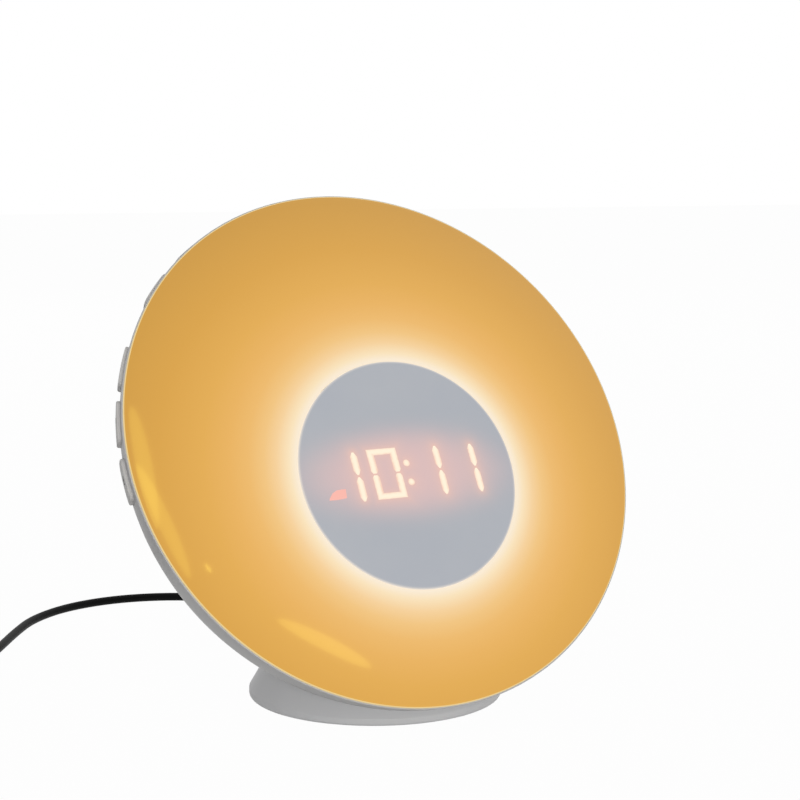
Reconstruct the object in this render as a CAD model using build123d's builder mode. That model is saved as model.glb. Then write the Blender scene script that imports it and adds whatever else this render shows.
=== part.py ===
"""Sunrise alarm clock: a lit dome with a display window in a round shell, on a cone foot, with its
low-voltage cord, coiled away, and its wall adapter.

The origin is the middle of the foot's underside on the table, +Z is up, and the clock faces -Y.
The head leans back, so its pieces are drawn in a frame of their own: x to the right, y up the face
and z out of the face, with the rim of the dome at z = 0.
"""

import os
from math import acos, asin, cos, degrees, pi, radians, sin, sqrt, tan

from build123d import *

os.makedirs("parts", exist_ok=True)

# ---------------------------------------------------------------- driving dimensions, mm and degrees
# Head
head_radius = 90.0  # edge of the dome
head_lean = 28.7  # how far the face leans back from upright
head_forward = 9.0  # the head's middle stands this far in front of the foot's middle
head_depth = 42.0  # from the dome's edge back to the flat back
bowl_rise = 4.2  # lowest point of the bowl above the table

# Dome and display window
dome_rise = 11.5
dome_wall = 2.0
dome_edge_height = 0.35  # upright side of the dome's edge
dome_edge_round = 0.15
skirt_wall = 1.5
skirt_length = 1.7
window_radius = 38.65
window_drop = 15.1  # window's middle below the dome's middle

# Rear shell
shell_wall = 2.4
lip_step = 0.54  # the shell's lip stands out past the dome's edge
lip_round = 0.3
lip_slope = 9.4
bowl_arc = 64.3  # radius of the bowl's side in section
back_corner = 12.0

# Side buttons
button_length = 14.3
button_height = 7.4
button_corner = 2.3
button_proud = 1.2
button_round = 0.5
button_travel = 0.7
button_depth = 7.4  # button's middle behind the dome's edge
button_pitch = 12.4  # degrees
upper_buttons_at = 132.4  # middle of the pair of buttons, degrees from the head's right
lower_buttons_at = 170.7  # middle of the row of three
button_flange = 0.8
button_flange_wall = 1.1
button_stem_radius = 1.6

# Inside the head
tray_wall = 1.5
tray_floor_depth = 5.0
tray_floor_margin = 2.05  # from the lamp board's far edge to the foot of the tray's slope
tray_rim_margin = 10.0  # from the tray's rim out to the dome's edge
tray_rim_depth = 1.2
tube_wall = 2.0
lamp_board_width = 13.0
lamp_board_wall = 1.0
lamp_led_count = 24
lamp_led_length = 3.5
lamp_led_width = 2.8
lamp_led_height = 1.2
digit_height = 17.0
digit_width = 10.1
digit_stroke = 1.9
digit_gap = 0.5  # between two segments
digit_pitch = 13.7
colon_room = 1.6
colon_spread = 3.2
digit_lamp_height = 0.6
mark_width = 4.4
mark_height = 3.4
digit_block_width = 62.0
digit_block_height = 23.0
digit_block_depth = 6.0
digits_up = 0.4  # the digits' middle above the window's middle
board_wall = 1.6
main_board_width = 64.0
main_board_height = 46.0
main_board_gap = 8.0  # between the tray and the main board
chip_width = 10.0
chip_height = 1.4
capacitor_radius = 4.0
capacitor_height = 9.0
header_width = 12.5
header_depth = 5.8
header_height = 5.0
key_board_width = 17.4
key_board_gap = 2.6  # between the tray and a key board
key_board_margin = 2.0  # degrees past the outermost button
switch_width = 6.0
switch_depth = 4.0
switch_height = 3.6
plunger_radius = 1.2
plunger_length = 1.0
touch_strip_wall = 0.3
touch_strip_half_angle = 18.0
touch_strip_width = 8.0
board_post_radius = 2.6
key_post_inset = 4.0  # from a key board's inner edge to its screws
key_post_turn = 8.0  # degrees from the outermost buttons to the screws

# Back of the head
post_radius = 4.0
screw_cup_radius = 5.6
screw_cup_depth = 5.0
screw_edge_margin = 8.5  # from the edge of the flat back to the screws in it
case_screw_turn = 45.0  # first case screw, degrees from the head's right
speaker_up = 29.0
speaker_radius = 17.5
speaker_depth = 9.5
speaker_wall = 0.9
speaker_cone_wall = 0.5
magnet_radius = 10.5
magnet_height = 5.0
speaker_seat_wall = 1.6
speaker_seat_height = 2.4
grille_hole_radius = 1.0
grille_ring_pitch = 3.9
grille_rings = 3
jack_right = 20.0
jack_down = 6.0
jack_radius = 5.5
jack_flange_radius = 7.0
jack_flange_wall = 1.0
jack_length = 13.0
jack_bore_radius = 2.9
jack_bore_depth = 10.0
jack_pin_radius = 1.0
usb_right = 39.0
usb_up = 1.0
usb_length = 13.2  # the socket stands upright
usb_width = 5.8
usb_depth = 13.0
usb_shell_wall = 0.4
usb_tongue_length = 11.0
usb_tongue_wall = 1.8
door_right = -34.0
door_up = -1.0
door_width = 27.0
door_height = 24.0
door_wall = 1.8
door_corner = 2.5
door_ledge = 1.2
pocket_depth = 6.6
pocket_wall = 1.4
cell_radius = 10.0
cell_height = 3.2
contact_wall = 0.3

# Foot
foot_radius = 42.5
foot_band = 2.4  # upright band at the foot's edge
foot_slope = 30.0  # the wall leans in from upright
foot_wall = 2.4
foot_edge_round = 1.0
foot_top = 56.0
foot_stand = 0.6  # the pad holds the foot this far off the table
foot_cavity_front = -7.0
plate_wall = 1.8
plate_rim = 4.5  # from the plate's edge to the foot's edge
plate_screw_circle = 29.0
plate_side_screw_at = 5.0  # degrees behind the foot's middle line
plate_rear_screw_at = 60.0
plate_boss_radius = 3.6
pad_rim = 3.0  # from the pad's edge to the plate's edge
pad_wall = 0.8

# Screws: shank radius, head radius and head height
screw_radius = 1.3
screw_head_radius = 2.6
screw_head_height = 1.6
plate_screw_head_height = 0.9
case_screw_length = 12.0
board_screw_length = 5.5
head_screw_length = 8.0
head_screw_spread = 18.0  # degrees from straight down to each lower head screw
head_screw_rise = 14.0  # from the circle of the lower two up to the third
plate_screw_length = 7.5
head_screw_boss_radius = 3.8

# Cord, plug and adapter
cord_radius = 1.6
plug_radius = 4.8
plug_length = 20.0
plug_barrel_radius = 2.75
plug_barrel_length = 9.0
relief_length = 20.0
relief_radius = 3.2
relief_tip_radius = 2.1
coil_across = 17.8  # radius at the middle of the turns
coil_columns = 3
coil_layers = 4
tie_width = 4.0
tie_wall = 0.7
tie_turn = 45.0  # where the tie sits on the coil, degrees from its right
tie_gap = 0.3
adapter_length = 58.0
adapter_width = 34.0
adapter_height = 27.0
adapter_round = 4.0
adapter_gap = 2.0  # between the coil and the adapter's strain relief
adapter_relief_length = 16.0
prong_length = 16.0
prong_width = 6.3
prong_wall = 1.5
prong_pitch = 12.7

# Clearances
part_gap = 0.15  # between fitted pieces that don't move
seat_gap = 0.05  # between a piece and what it sits on
button_gap = 0.2
board_gap = 0.6
door_gap = 0.2
press_stop = 0.1  # left between a pressed button and its switch
tiny = 0.02  # overrun of a cut

# ---------------------------------------------------------------- derived sizes and the head's frame
lean = radians(head_lean)
lip_radius = head_radius + lip_step
bowl_middle = lip_radius - bowl_arc * cos(radians(lip_slope))
bowl_centre = -dome_edge_height + bowl_arc * sin(radians(lip_slope))
head_height = bowl_rise + bowl_arc + bowl_middle * cos(lean) - bowl_centre * sin(lean)
corner_reach = sqrt((bowl_arc - back_corner) ** 2 - (bowl_centre + head_depth - back_corner) ** 2)
back_flat_radius = bowl_middle + corner_reach

HEAD = Plane(
    origin=(0, -head_forward, head_height), x_dir=(1, 0, 0), z_dir=(0, -cos(lean), sin(lean))
)
HEAD_AXIS = Axis(HEAD.origin, HEAD.z_dir)


def on_circle(radius, angle):
    """The point at a radius and an angle about a plane's middle."""
    return (radius * cos(radians(angle)), radius * sin(radians(angle)))


def along(angle):
    """The direction across the face at an angle from the head's right."""
    return HEAD.x_dir * cos(radians(angle)) + HEAD.y_dir * sin(radians(angle))


def section(angle=0):
    """The half-plane through the head's axis at an angle: its x runs outwards and its y out of the face."""
    return Plane(origin=HEAD.origin, x_dir=along(angle), z_dir=-along(angle + 90))


def spoke(angle, depth=0.0):
    """A plane whose z runs outwards along the face at an angle, with its y out of the face."""
    return Plane(origin=level(depth).origin, x_dir=along(angle + 90), z_dir=along(angle))


def level(depth):
    """The plane across the head at a depth behind the dome's edge."""
    return HEAD.offset(-depth)


def behind(depth):
    """The same plane, facing backwards: its x runs to the right and its y down the face."""
    place = level(depth)
    return Plane(origin=place.origin, x_dir=place.x_dir, z_dir=-place.z_dir)


def bowl_radius(depth, inset=0.0):
    """Radius of the bowl's outside, moved inwards by inset, at a depth behind the dome's edge."""
    return bowl_middle + sqrt((bowl_arc - inset) ** 2 - (bowl_centre + depth) ** 2)


def bowl_blank(inset, front):
    """The solid inside the bowl's outside moved inwards by inset, cut flat at a depth of front."""
    side = bowl_arc - inset
    corner = back_corner - inset
    back = head_depth - inset
    reach = bowl_arc - back_corner
    turn = -degrees(acos(corner_reach / reach))
    start = -degrees(asin((bowl_centre + front) / side))
    corner_centre = (back_flat_radius, -(head_depth - back_corner))
    with BuildPart() as blank:
        with BuildSketch(section()):
            with BuildLine():
                wall = CenterArc((bowl_middle, bowl_centre), side, start, turn - start)
                bend = CenterArc(corner_centre, corner, turn, -90 - turn)
                Polyline(bend @ 1, (0, -back), (0, -front), wall @ 0)
            make_face()
        revolve(axis=HEAD_AXIS)
    return blank.part


def dome_height(radius, inset=0.0):
    """Height of the dome's outside, moved inwards by inset, at a radius from the head's axis."""
    return dome_rise - dome_ball + sqrt((dome_ball - inset) ** 2 - radius**2)


def under_dome(inset, base):
    """The solid under the dome's outside moved inwards by inset, down to a depth of base."""
    edge = head_radius - skirt_wall
    with BuildPart() as blank:
        with BuildSketch(section()):
            with BuildLine():
                RadiusArc((edge, dome_height(edge, inset)), (0, dome_rise - inset), -(dome_ball - inset))
                Polyline((0, dome_rise - inset), (0, -base), (edge, -base), (edge, dome_height(edge, inset)))
            make_face()
        revolve(axis=HEAD_AXIS)
    return blank.part


def backward_planes(depth, spots):
    """A plane at each spot of the face, at a depth behind the dome's edge, with its z towards the back."""
    place = level(depth)
    return [Plane(origin=place.from_local_coords((x, y, 0)), z_dir=-place.z_dir) for x, y in spots]


def write(piece, label):
    """Labels a finished piece and writes it."""
    piece.part.label = label
    export_step(piece.part, f"parts/{label}.step")


def screws(places, length, label, head=screw_head_height):
    """A group of pan-head screws, each with its head's underside on its plane and its shank along -z."""
    with BuildPart() as group:
        for place in places:
            with BuildSketch(place):
                Circle(screw_head_radius)
            extrude(amount=head)
            with BuildSketch(place):
                Circle(screw_radius)
            extrude(amount=-length)
        top = [face for face in group.faces() if abs(face.area - pi * screw_head_radius**2) < tiny]
        fillet([edge for face in top for edge in face.edges()], head / 3)
        for place in places:
            with BuildSketch(place.offset(head)):
                Rectangle(screw_head_radius, screw_head_radius / 4)
                Rectangle(screw_head_radius / 4, screw_head_radius)
            extrude(amount=-head / 2, mode=Mode.SUBTRACT)
    write(group, label)


dome_ball = (dome_rise**2 + head_radius**2) / (2 * dome_rise)
lamp_board_inner = window_radius + 2 * board_gap
tray_floor_radius = window_drop + lamp_board_inner + lamp_board_width + tray_floor_margin
tray_rim_radius = head_radius - tray_rim_margin
tray_back = tray_floor_depth + tray_wall
back_inside = head_depth - shell_wall
post_end = head_depth - screw_cup_depth
window_middle = (0, -window_drop)
tube_outer = window_radius - part_gap
tube_inner = tube_outer - tube_wall

side_angles = [upper_buttons_at + side * button_pitch / 2 for side in (-1, 1)]
side_angles += [lower_buttons_at + place * button_pitch for place in (-1, 0, 1)]
button_angles = {"left": side_angles, "right": [180 - angle for angle in side_angles]}

back_screw_circle = back_flat_radius - screw_edge_margin
case_screw_spots = [on_circle(back_screw_circle, case_screw_turn + 90 * place) for place in range(4)]
head_screw_spots = [on_circle(back_screw_circle, side * head_screw_spread - 90) for side in (-1, 1)]
head_screw_spots += [(0, head_screw_rise - back_screw_circle)]
main_board_spots = [
    (side * (main_board_width / 2 - board_post_radius), rise * (main_board_height / 2 - board_post_radius))
    for side in (-1, 1)
    for rise in (-1, 1)
]

# A button's stem ends on the plunger of its switch, and the switches stand along the key board's edge.
key_board_face = tray_back + key_board_gap
flange_inset = shell_wall + seat_gap
stem_outer = bowl_radius(button_depth + button_height / 2, flange_inset + button_flange_wall)
stem_end = stem_outer - button_flange_wall - button_travel
switch_face = stem_end - press_stop - button_travel - plunger_length
switch_middle_depth = key_board_face - switch_height / 2
key_board_outer = switch_face - switch_depth / 4
key_board_inner = key_board_outer - key_board_width
key_post_circle = key_board_inner + key_post_inset
key_board_turns = {
    "left": (side_angles[0], side_angles[-1]),
    "right": (180 - side_angles[-1], 180 - side_angles[0]),
}
key_board_spots = {
    side: [on_circle(key_post_circle, angle) for angle in (first + key_post_turn, last - key_post_turn)]
    for side, (first, last) in key_board_turns.items()
}

# ---------------------------------------------------------------- dome and display window
dome_inside = under_dome(dome_wall, tray_back)
dome_seat = under_dome(dome_wall + seat_gap, tray_back)

with BuildPart() as front_diffuser:
    skirt_outer = bowl_radius(dome_edge_height + skirt_length, shell_wall) - part_gap
    with BuildSketch(section()):
        with BuildLine():
            RadiusArc((head_radius, 0), (0, dome_rise), -dome_ball)
            Polyline(
                (0, dome_rise),
                (0, -dome_edge_height),
                (skirt_outer - skirt_wall, -dome_edge_height),
                (skirt_outer - skirt_wall, -dome_edge_height - skirt_length),
                (skirt_outer, -dome_edge_height - skirt_length),
                (skirt_outer, -dome_edge_height + seat_gap),
                (head_radius, -dome_edge_height + seat_gap),
                (head_radius, 0),
            )
        make_face()
    revolve(axis=HEAD_AXIS)
    rim = front_diffuser.edges().filter_by(GeomType.CIRCLE).sort_by(Edge.length)[-2:]
    fillet(rim.sort_by(HEAD_AXIS)[-1], dome_edge_round)
    with BuildSketch(section()):
        with BuildLine():
            inner = skirt_outer - skirt_wall
            RadiusArc(
                (inner, dome_height(inner, dome_wall)), (0, dome_rise - dome_wall), -(dome_ball - dome_wall)
            )
            Polyline(
                (0, dome_rise - dome_wall),
                (0, -dome_edge_height - skirt_length),
                (inner, -dome_edge_height - skirt_length),
                (inner, dome_height(inner, dome_wall)),
            )
        make_face()
    revolve(axis=HEAD_AXIS, mode=Mode.SUBTRACT)
    with BuildSketch(HEAD):
        with Locations(window_middle):
            Circle(window_radius + part_gap)
    extrude(amount=dome_rise + tiny, mode=Mode.SUBTRACT)
write(front_diffuser, "front_diffuser")

with BuildPart() as display_window:
    with BuildSketch(HEAD):
        with Locations(window_middle):
            Circle(window_radius)
    extrude(amount=dome_rise)
    with BuildSketch(section()):
        with BuildLine():
            edge = head_radius - dome_edge_round
            RadiusArc((edge, dome_height(edge)), (0, dome_rise), -dome_ball)
            Polyline(
                (0, dome_rise),
                (0, -dome_rise),
                (edge, -dome_rise),
                (edge, dome_height(edge)),
            )
        make_face()
    revolve(axis=HEAD_AXIS, mode=Mode.INTERSECT)
    add(dome_inside, mode=Mode.SUBTRACT)
write(display_window, "display_window")

# ---------------------------------------------------------------- light chamber and display
with BuildPart() as display_tube:
    with BuildSketch(level(tray_floor_depth - seat_gap)):
        with Locations(window_middle):
            Circle(tube_outer)
            Circle(tube_inner, mode=Mode.SUBTRACT)
    extrude(amount=tray_floor_depth + dome_rise)
    add(dome_seat, mode=Mode.INTERSECT)
write(display_tube, "display_tube")

digit_lamp_face = -tray_floor_depth + seat_gap + board_wall + digit_block_depth
display_middle = (0, digits_up - window_drop)

with BuildPart() as display_board:
    with BuildSketch(level(tray_floor_depth - seat_gap)):
        with Locations(window_middle):
            Circle(tube_inner - part_gap)
    extrude(amount=board_wall)
write(display_board, "display_board")

with BuildPart() as digit_block:
    with BuildSketch(HEAD.offset(digit_lamp_face)):
        with Locations(display_middle):
            RectangleRounded(digit_block_width, digit_block_height, 1)
    extrude(amount=-(digit_block_depth - seat_gap))
write(digit_block, "digit_block")

digit_places = [-1.5 * digit_pitch - colon_room / 2, -0.5 * digit_pitch - colon_room / 2]
digit_places += [-place for place in reversed(digit_places)]
bar = digit_width - digit_stroke
stem = (digit_height - digit_stroke) / 2
with BuildPart() as digit_segments:
    with BuildSketch(HEAD.offset(digit_lamp_face + seat_gap)):
        with Locations(*[(place, display_middle[1]) for place in digit_places]):
            with Locations((0, -stem), (0, 0), (0, stem)):
                Rectangle(bar - digit_stroke - digit_gap, digit_stroke)
            with Locations(*[(x * bar / 2, y * stem / 2) for x in (-1, 1) for y in (-1, 1)]):
                Rectangle(digit_stroke, stem - digit_gap)
        with Locations(*[(0, display_middle[1] + side * colon_spread) for side in (-1, 1)]):
            Circle(digit_stroke / 2)
        with Locations((digit_places[0] - digit_width / 2, display_middle[1] - stem * 0.72)):
            Rectangle(mark_width / 2, mark_height)
    extrude(amount=digit_lamp_height)
write(digit_segments, "digit_segments")

with BuildPart() as light_room:
    with BuildSketch(section()):
        with BuildLine():
            Polyline(
                (0, -tray_floor_depth),
                (tray_floor_radius, -tray_floor_depth),
                (tray_rim_radius, -tray_rim_depth),
                (tray_rim_radius, dome_rise),
                (0, dome_rise),
                close=True,
            )
        make_face()
    revolve(axis=HEAD_AXIS)

post_root = tray_rim_depth + tray_wall
with BuildPart() as light_tray:
    with BuildSketch(section()):
        with BuildLine():
            Polyline(
                (0, -tray_floor_depth),
                (tray_floor_radius, -tray_floor_depth),
                (tray_rim_radius, -tray_rim_depth),
                (tray_rim_radius, -tray_rim_depth - tray_wall),
                (tray_floor_radius, -tray_back),
                (0, -tray_back),
                close=True,
            )
        make_face()
    revolve(axis=HEAD_AXIS)
    with BuildSketch(level(post_root)):
        with Locations(*case_screw_spots):
            Circle(post_radius)
    extrude(amount=-(post_end - seat_gap - post_root))
    with BuildSketch(level(post_root)):
        with Locations(*main_board_spots):
            Circle(board_post_radius)
    extrude(amount=-(tray_back + main_board_gap - seat_gap - post_root))
    with BuildSketch(level(post_root)):
        with Locations(*key_board_spots["left"], *key_board_spots["right"]):
            Circle(board_post_radius)
    extrude(amount=-(key_board_face - seat_gap - post_root))
    add(light_room.part, mode=Mode.SUBTRACT)
    with BuildSketch(level(post_end)):
        with Locations(*case_screw_spots):
            Circle(screw_radius + seat_gap)
    extrude(amount=case_screw_length, mode=Mode.SUBTRACT)
    with BuildSketch(level(tray_back + main_board_gap)):
        with Locations(*main_board_spots):
            Circle(screw_radius + seat_gap)
    extrude(amount=board_screw_length, mode=Mode.SUBTRACT)
    with BuildSketch(level(key_board_face)):
        with Locations(*key_board_spots["left"], *key_board_spots["right"]):
            Circle(screw_radius + seat_gap)
    extrude(amount=board_screw_length - board_wall, mode=Mode.SUBTRACT)
    with BuildSketch(level(tray_back + tiny)):
        with Locations(display_middle):
            Rectangle(header_width + 2 * board_gap, header_depth + 2 * board_gap)
    extrude(amount=tray_wall + 2 * tiny, mode=Mode.SUBTRACT)
write(light_tray, "light_tray")

with BuildPart() as lamp_board:
    with BuildSketch(level(tray_floor_depth - seat_gap)):
        with Locations(window_middle):
            Circle(lamp_board_inner + lamp_board_width)
            Circle(lamp_board_inner, mode=Mode.SUBTRACT)
    extrude(amount=lamp_board_wall)
write(lamp_board, "lamp_board")

with BuildPart() as lamp_leds:
    with BuildSketch(level(tray_floor_depth - 2 * seat_gap - lamp_board_wall)):
        with Locations(window_middle):
            with PolarLocations(lamp_board_inner + lamp_board_width / 2, lamp_led_count):
                Rectangle(lamp_led_length, lamp_led_width)
    extrude(amount=lamp_led_height)
write(lamp_leds, "lamp_leds")

# ---------------------------------------------------------------- main board, below the tray
main_board_face = tray_back + main_board_gap
main_board_under = main_board_face + board_wall

with BuildPart() as main_board:
    with BuildSketch(behind(main_board_face)):
        RectangleRounded(main_board_width, main_board_height, 2)
        with Locations(*[(x, -y) for x, y in main_board_spots]):
            Circle(screw_radius + part_gap, mode=Mode.SUBTRACT)
    extrude(amount=board_wall)
write(main_board, "main_board")

with BuildPart() as main_board_parts:
    with BuildSketch(behind(main_board_under + seat_gap)):
        with Locations((-main_board_width / 5, 0)):
            Rectangle(chip_width, chip_width)
    extrude(amount=chip_height)
    with BuildSketch(behind(main_board_under + seat_gap)):
        with Locations((main_board_width / 5, 0)):
            with GridLocations(0, 2 * capacitor_radius + 2 * board_gap, 1, 2):
                Circle(capacitor_radius)
    extrude(amount=capacitor_height)
    with BuildSketch(behind(main_board_under + seat_gap)):
        with Locations((0, main_board_height / 2 - header_depth), (0, header_depth - main_board_height / 2)):
            Rectangle(header_width, header_depth)
    extrude(amount=header_height)
write(main_board_parts, "main_board_parts")

with BuildPart() as display_header:
    with BuildSketch(level(main_board_face - seat_gap)):
        with Locations(display_middle):
            Rectangle(header_width, header_depth)
    extrude(amount=main_board_face - tray_floor_depth - seat_gap)
write(display_header, "display_header")

board_screw_places = backward_planes(main_board_under + seat_gap, main_board_spots)
screws(board_screw_places, board_screw_length - seat_gap, "main_board_screws")

# ---------------------------------------------------------------- side buttons, their boards and switches
for side, (start_angle, end_angle) in key_board_turns.items():
    with BuildPart() as key_board:
        low = start_angle - button_pitch / 2 - key_board_margin
        sweep_angle = end_angle + button_pitch / 2 + key_board_margin - low
        with BuildSketch(level(key_board_face + board_wall)):
            with BuildLine():
                outside = CenterArc((0, 0), key_board_outer, low, sweep_angle)
                inside = CenterArc((0, 0), key_board_inner, low, sweep_angle)
                Line(outside @ 0, inside @ 0)
                Line(outside @ 1, inside @ 1)
            make_face()
            with Locations(*key_board_spots[side]):
                Circle(screw_radius + part_gap, mode=Mode.SUBTRACT)
        extrude(amount=board_wall - seat_gap)
    write(key_board, f"{side}_key_board")

    with BuildPart() as switches:
        for angle in button_angles[side]:
            with BuildSketch(spoke(angle, switch_middle_depth).offset(switch_face)):
                Rectangle(switch_width, switch_height)
            extrude(amount=-switch_depth)
            with BuildSketch(spoke(angle, switch_middle_depth).offset(switch_face)):
                Circle(plunger_radius)
            extrude(amount=plunger_length)
    write(switches, f"{side}_switches")

key_screw_places = backward_planes(
    key_board_face + board_wall + seat_gap, key_board_spots["left"] + key_board_spots["right"]
)
screws(key_screw_places, board_screw_length - seat_gap, "key_board_screws")

button_skin = bowl_blank(-button_proud, dome_edge_height)
flange_outside = bowl_blank(flange_inset, dome_edge_height)
flange_inside = bowl_blank(flange_inset + button_flange_wall, dome_edge_height)

with BuildPart() as flange_shell:
    add(flange_outside)
    add(flange_inside, mode=Mode.SUBTRACT)

for side, angles in button_angles.items():
    for number, angle in enumerate(angles, start=1):
        with BuildPart() as flange:
            with BuildSketch(spoke(angle, button_depth).offset(stem_outer - 2 * button_flange_wall)):
                RectangleRounded(button_length, button_height + 2 * button_flange, button_corner)
            extrude(amount=shell_wall + 4 * button_flange_wall)
            add(flange_shell.part, mode=Mode.INTERSECT)
        with BuildPart() as button:
            with BuildSketch(spoke(angle, button_depth).offset(stem_outer)):
                RectangleRounded(button_length, button_height, button_corner)
            extrude(amount=lip_radius - stem_outer + 3 * button_proud)
            add(button_skin, mode=Mode.INTERSECT)
            face = button.faces().sort_by(Axis(HEAD.origin, spoke(angle).z_dir))[-1]
            fillet(face.edges(), button_round)
            add(flange.part)
            with BuildSketch(spoke(angle, switch_middle_depth).offset(stem_end)):
                Circle(button_stem_radius)
            extrude(amount=stem_outer - stem_end + button_flange_wall / 2)
        write(button, f"{side}_button_{number}")

# ---------------------------------------------------------------- rear shell
shell_outside = bowl_blank(0, dome_edge_height)
shell_inside = bowl_blank(shell_wall, dome_edge_height - tiny)
speaker_spot = (0, speaker_up)
speaker_face = back_inside - seat_gap
speaker_back = back_inside - speaker_depth
door_spot = (door_right, door_up)
pocket_width = door_width + 2 * pocket_wall
pocket_height = door_height + 2 * pocket_wall
pocket_opening = door_width - 2 * door_ledge

with BuildPart() as shell_fittings:
    with BuildSketch(level(back_inside)):
        with Locations(*case_screw_spots):
            Circle(screw_cup_radius)
    extrude(amount=back_inside - post_end)
    with BuildSketch(level(back_inside)):
        with Locations(speaker_spot):
            Circle(speaker_radius + part_gap + speaker_seat_wall)
            Circle(speaker_radius + part_gap, mode=Mode.SUBTRACT)
    extrude(amount=speaker_seat_height)
    with BuildSketch(level(back_inside)):
        with Locations(door_spot):
            RectangleRounded(pocket_width, pocket_height, door_corner + pocket_wall)
    extrude(amount=pocket_depth + pocket_wall - shell_wall)

with BuildPart() as rear_housing:
    add(shell_outside)
    fillet(rear_housing.edges().filter_by(GeomType.CIRCLE).sort_by(Edge.length)[-1], lip_round)
    add(shell_inside, mode=Mode.SUBTRACT)
    add(shell_fittings.part)
    for angle in button_angles["left"] + button_angles["right"]:
        with BuildSketch(spoke(angle, button_depth).offset(bowl_middle)):
            RectangleRounded(
                button_length + 2 * button_gap, button_height + 2 * button_gap, button_corner + button_gap
            )
        extrude(amount=bowl_arc + 2 * button_proud, mode=Mode.SUBTRACT)
    with BuildSketch(behind(head_depth)):
        with Locations(*[(x, -y) for x, y in case_screw_spots]):
            Circle(screw_head_radius + 2 * button_gap)
    extrude(amount=-(screw_cup_depth - shell_wall), mode=Mode.SUBTRACT)
    with BuildSketch(behind(head_depth)):
        with Locations(*[(x, -y) for x, y in case_screw_spots + head_screw_spots]):
            Circle(screw_radius + part_gap)
        with Locations((jack_right, jack_down)):
            Circle(jack_radius + part_gap)
        with Locations((usb_right, -usb_up)):
            Rectangle(usb_width + 2 * part_gap, usb_length + 2 * part_gap)
        with Locations((0, -speaker_up)):
            Circle(grille_hole_radius)
            for ring in range(1, grille_rings + 1):
                with PolarLocations(ring * grille_ring_pitch, 6 * ring):
                    Circle(grille_hole_radius)
    extrude(amount=-(screw_cup_depth + tiny), mode=Mode.SUBTRACT)
    with BuildSketch(behind(head_depth)):
        with Locations((door_right, -door_up)):
            RectangleRounded(door_width, door_height, door_corner)
    extrude(amount=-door_wall, mode=Mode.SUBTRACT)
    with BuildSketch(behind(head_depth)):
        with Locations((door_right, -door_up)):
            RectangleRounded(pocket_opening, door_height - 2 * door_ledge, door_corner - door_ledge)
    extrude(amount=-pocket_depth, mode=Mode.SUBTRACT)
write(rear_housing, "rear_housing")

case_screw_places = backward_planes(post_end + shell_wall + seat_gap, case_screw_spots)
screws(case_screw_places, case_screw_length - seat_gap, "case_screws")

with BuildPart() as touch_strip:
    strip_inset = shell_wall + seat_gap
    strip_start = dome_edge_height + skirt_length + 2 * button_gap
    strip_end = strip_start + touch_strip_width
    strip_middle = (strip_start + strip_end) / 2
    outer_points = [
        (bowl_radius(depth, strip_inset), -depth) for depth in (strip_start, strip_middle, strip_end)
    ]
    inner_points = [(radius - touch_strip_wall, depth) for radius, depth in outer_points]
    with BuildSketch(section(90 - touch_strip_half_angle)):
        with BuildLine():
            ThreePointArc(*outer_points)
            ThreePointArc(*inner_points)
            Line(outer_points[0], inner_points[0])
            Line(outer_points[2], inner_points[2])
        make_face()
    revolve(axis=HEAD_AXIS, revolution_arc=2 * touch_strip_half_angle)
write(touch_strip, "touch_strip")

# ---------------------------------------------------------------- speaker
SPEAKER_AXIS = Axis(HEAD.from_local_coords((0, speaker_up, 0)), HEAD.z_dir)
SPEAKER = Plane(origin=SPEAKER_AXIS.position, x_dir=section().x_dir, z_dir=section().z_dir)
basket_radius = magnet_radius + speaker_wall

with BuildPart() as speaker_frame:
    with BuildSketch(SPEAKER):
        with BuildLine():
            Polyline(
                (speaker_radius, -speaker_face),
                (speaker_radius, -speaker_face + 2 * speaker_wall),
                (basket_radius, -speaker_back),
                (0, -speaker_back),
                (0, -speaker_back - speaker_wall),
                (basket_radius - speaker_wall, -speaker_back - speaker_wall),
                (speaker_radius - 2 * speaker_wall, -speaker_face + speaker_wall),
                (speaker_radius - 2 * speaker_wall, -speaker_face),
                close=True,
            )
        make_face()
    revolve(axis=SPEAKER_AXIS)
write(speaker_frame, "speaker_frame")

with BuildPart() as speaker_cone:
    cone_edge = speaker_radius - 2 * speaker_wall - seat_gap
    cone_hub = magnet_radius / 2
    with BuildSketch(SPEAKER):
        with BuildLine():
            Polyline(
                (cone_edge, -speaker_face + speaker_cone_wall),
                (cone_edge, -speaker_face),
                (cone_edge - speaker_wall, -speaker_face),
                (cone_hub, -speaker_back - 2 * speaker_wall - speaker_cone_wall),
                (0, -speaker_back - 3 * speaker_wall - speaker_cone_wall),
                (0, -speaker_back - speaker_wall - seat_gap),
                (cone_hub, -speaker_back - speaker_wall - seat_gap),
                (cone_edge - speaker_wall, -speaker_face + speaker_cone_wall),
                close=True,
            )
        make_face()
    revolve(axis=SPEAKER_AXIS)
write(speaker_cone, "speaker_cone")

with BuildPart() as speaker_magnet:
    with BuildSketch(level(speaker_back - seat_gap)):
        with Locations(speaker_spot):
            Circle(magnet_radius)
    extrude(amount=magnet_height)
    fillet(speaker_magnet.edges().sort_by(HEAD_AXIS)[-1], speaker_wall / 2)
write(speaker_magnet, "speaker_magnet")

# ---------------------------------------------------------------- sockets, battery and its door
with BuildPart() as dc_jack:
    with BuildSketch(behind(head_depth + seat_gap)):
        with Locations((jack_right, jack_down)):
            Circle(jack_flange_radius)
    extrude(amount=jack_flange_wall)
    with BuildSketch(behind(head_depth + seat_gap)):
        with Locations((jack_right, jack_down)):
            Circle(jack_radius)
    extrude(amount=-jack_length)
    with BuildSketch(behind(head_depth + seat_gap + jack_flange_wall)):
        with Locations((jack_right, jack_down)):
            Circle(jack_bore_radius)
            Circle(jack_pin_radius, mode=Mode.SUBTRACT)
    extrude(amount=-jack_bore_depth, mode=Mode.SUBTRACT)
write(dc_jack, "dc_jack")

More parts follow.
